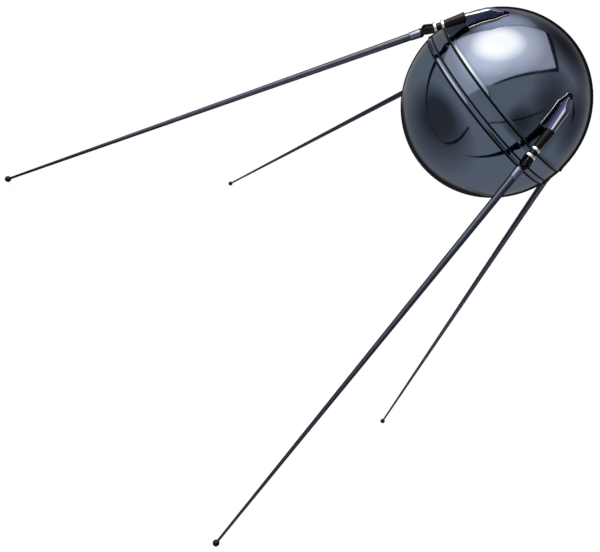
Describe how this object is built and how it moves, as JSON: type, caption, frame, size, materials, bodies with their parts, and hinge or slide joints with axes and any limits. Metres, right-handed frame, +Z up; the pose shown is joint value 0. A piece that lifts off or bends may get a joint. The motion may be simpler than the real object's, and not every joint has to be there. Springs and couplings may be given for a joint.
{
  "type": "spherical artificial satellite",
  "caption": "Polished hollow ball with two raised joint bands and sprung whip antennas, each on a chisel-shaped foot with a black insulator, a hinge and a tip ball.",
  "frame": {"origin": "on the floor straight below the ball, where the axis meets the plane of the four tip balls", "axes": "+Z up along the axis of symmetry, nose up; +X towards the right whip, -Y towards the front whip"},
  "size_m": [1.8958, 1.8958, 1.5662],
  "materials": {
    "polished_shell": "polished",
    "foot_metal": "satin",
    "insulator_black": "gloss",
    "bright_ring": "polished",
    "dark_steel": "satin",
    "whip_metal": "satin",
    "power_block": "matt"
  },
  "bodies": {
    "ball": {"rear_half_shell": "polished_shell", "front_half_shell": "polished_shell", "heat_shield": "polished_shell", "joint_band": "polished_shell", "shield_rim_band": "polished_shell", "battery_block": "power_block", "battery_frame": "foot_metal", "foot_pad_left": "foot_metal", "foot_fin_left": "foot_metal", "insulator_left": "insulator_black", "neck_left": "dark_steel", "upper_ring_left": "bright_ring", "lower_ring_left": "bright_ring", "hinge_fork_left": "dark_steel", "hinge_pin_left": "dark_steel", "foot_pad_front": "foot_metal", "foot_fin_front": "foot_metal", "insulator_front": "insulator_black", "neck_front": "dark_steel", "upper_ring_front": "bright_ring", "lower_ring_front": "bright_ring", "hinge_fork_front": "dark_steel", "hinge_pin_front": "dark_steel", "foot_pad_right": "foot_metal", "foot_fin_right": "foot_metal", "insulator_right": "insulator_black", "neck_right": "dark_steel", "upper_ring_right": "bright_ring", "lower_ring_right": "bright_ring", "hinge_fork_right": "dark_steel", "hinge_pin_right": "dark_steel", "foot_pad_back": "foot_metal", "foot_fin_back": "foot_metal", "insulator_back": "insulator_black", "neck_back": "dark_steel", "upper_ring_back": "bright_ring", "lower_ring_back": "bright_ring", "hinge_fork_back": "dark_steel", "hinge_pin_back": "dark_steel"},
    "whip_left": {"knuckle_left": "dark_steel", "ferrule_left": "dark_steel", "whip_rod_left": "whip_metal", "tip_ball_left": "dark_steel"},
    "whip_front": {"knuckle_front": "dark_steel", "ferrule_front": "dark_steel", "whip_rod_front": "whip_metal", "tip_ball_front": "dark_steel"},
    "whip_right": {"knuckle_right": "dark_steel", "ferrule_right": "dark_steel", "whip_rod_right": "whip_metal", "tip_ball_right": "dark_steel"},
    "whip_back": {"knuckle_back": "dark_steel", "ferrule_back": "dark_steel", "whip_rod_back": "whip_metal", "tip_ball_back": "dark_steel"}
  },
  "joints": [
    {"name": "whip_left_hinge", "type": "hinge", "parent": "ball", "child": "whip_left", "pos_m": [-0.34631, 0, 1.27889], "axis": [0, -1, 0], "range_deg": [0, 25.2], "stiffness_Nm_per_rad": 8, "springref_deg": -51.57},
    {"name": "whip_front_hinge", "type": "hinge", "parent": "ball", "child": "whip_front", "pos_m": [0, -0.34631, 1.27889], "axis": [1, 0, 0], "range_deg": [0, 25.2], "stiffness_Nm_per_rad": 8, "springref_deg": -51.57},
    {"name": "whip_right_hinge", "type": "hinge", "parent": "ball", "child": "whip_right", "pos_m": [0.34631, 0, 1.27889], "axis": [0, 1, 0], "range_deg": [0, 25.2], "stiffness_Nm_per_rad": 8, "springref_deg": -51.57},
    {"name": "whip_back_hinge", "type": "hinge", "parent": "ball", "child": "whip_back", "pos_m": [0, 0.34631, 1.27889], "axis": [-1, 0, 0], "range_deg": [0, 25.2], "stiffness_Nm_per_rad": 8, "springref_deg": -51.57}
  ]
}
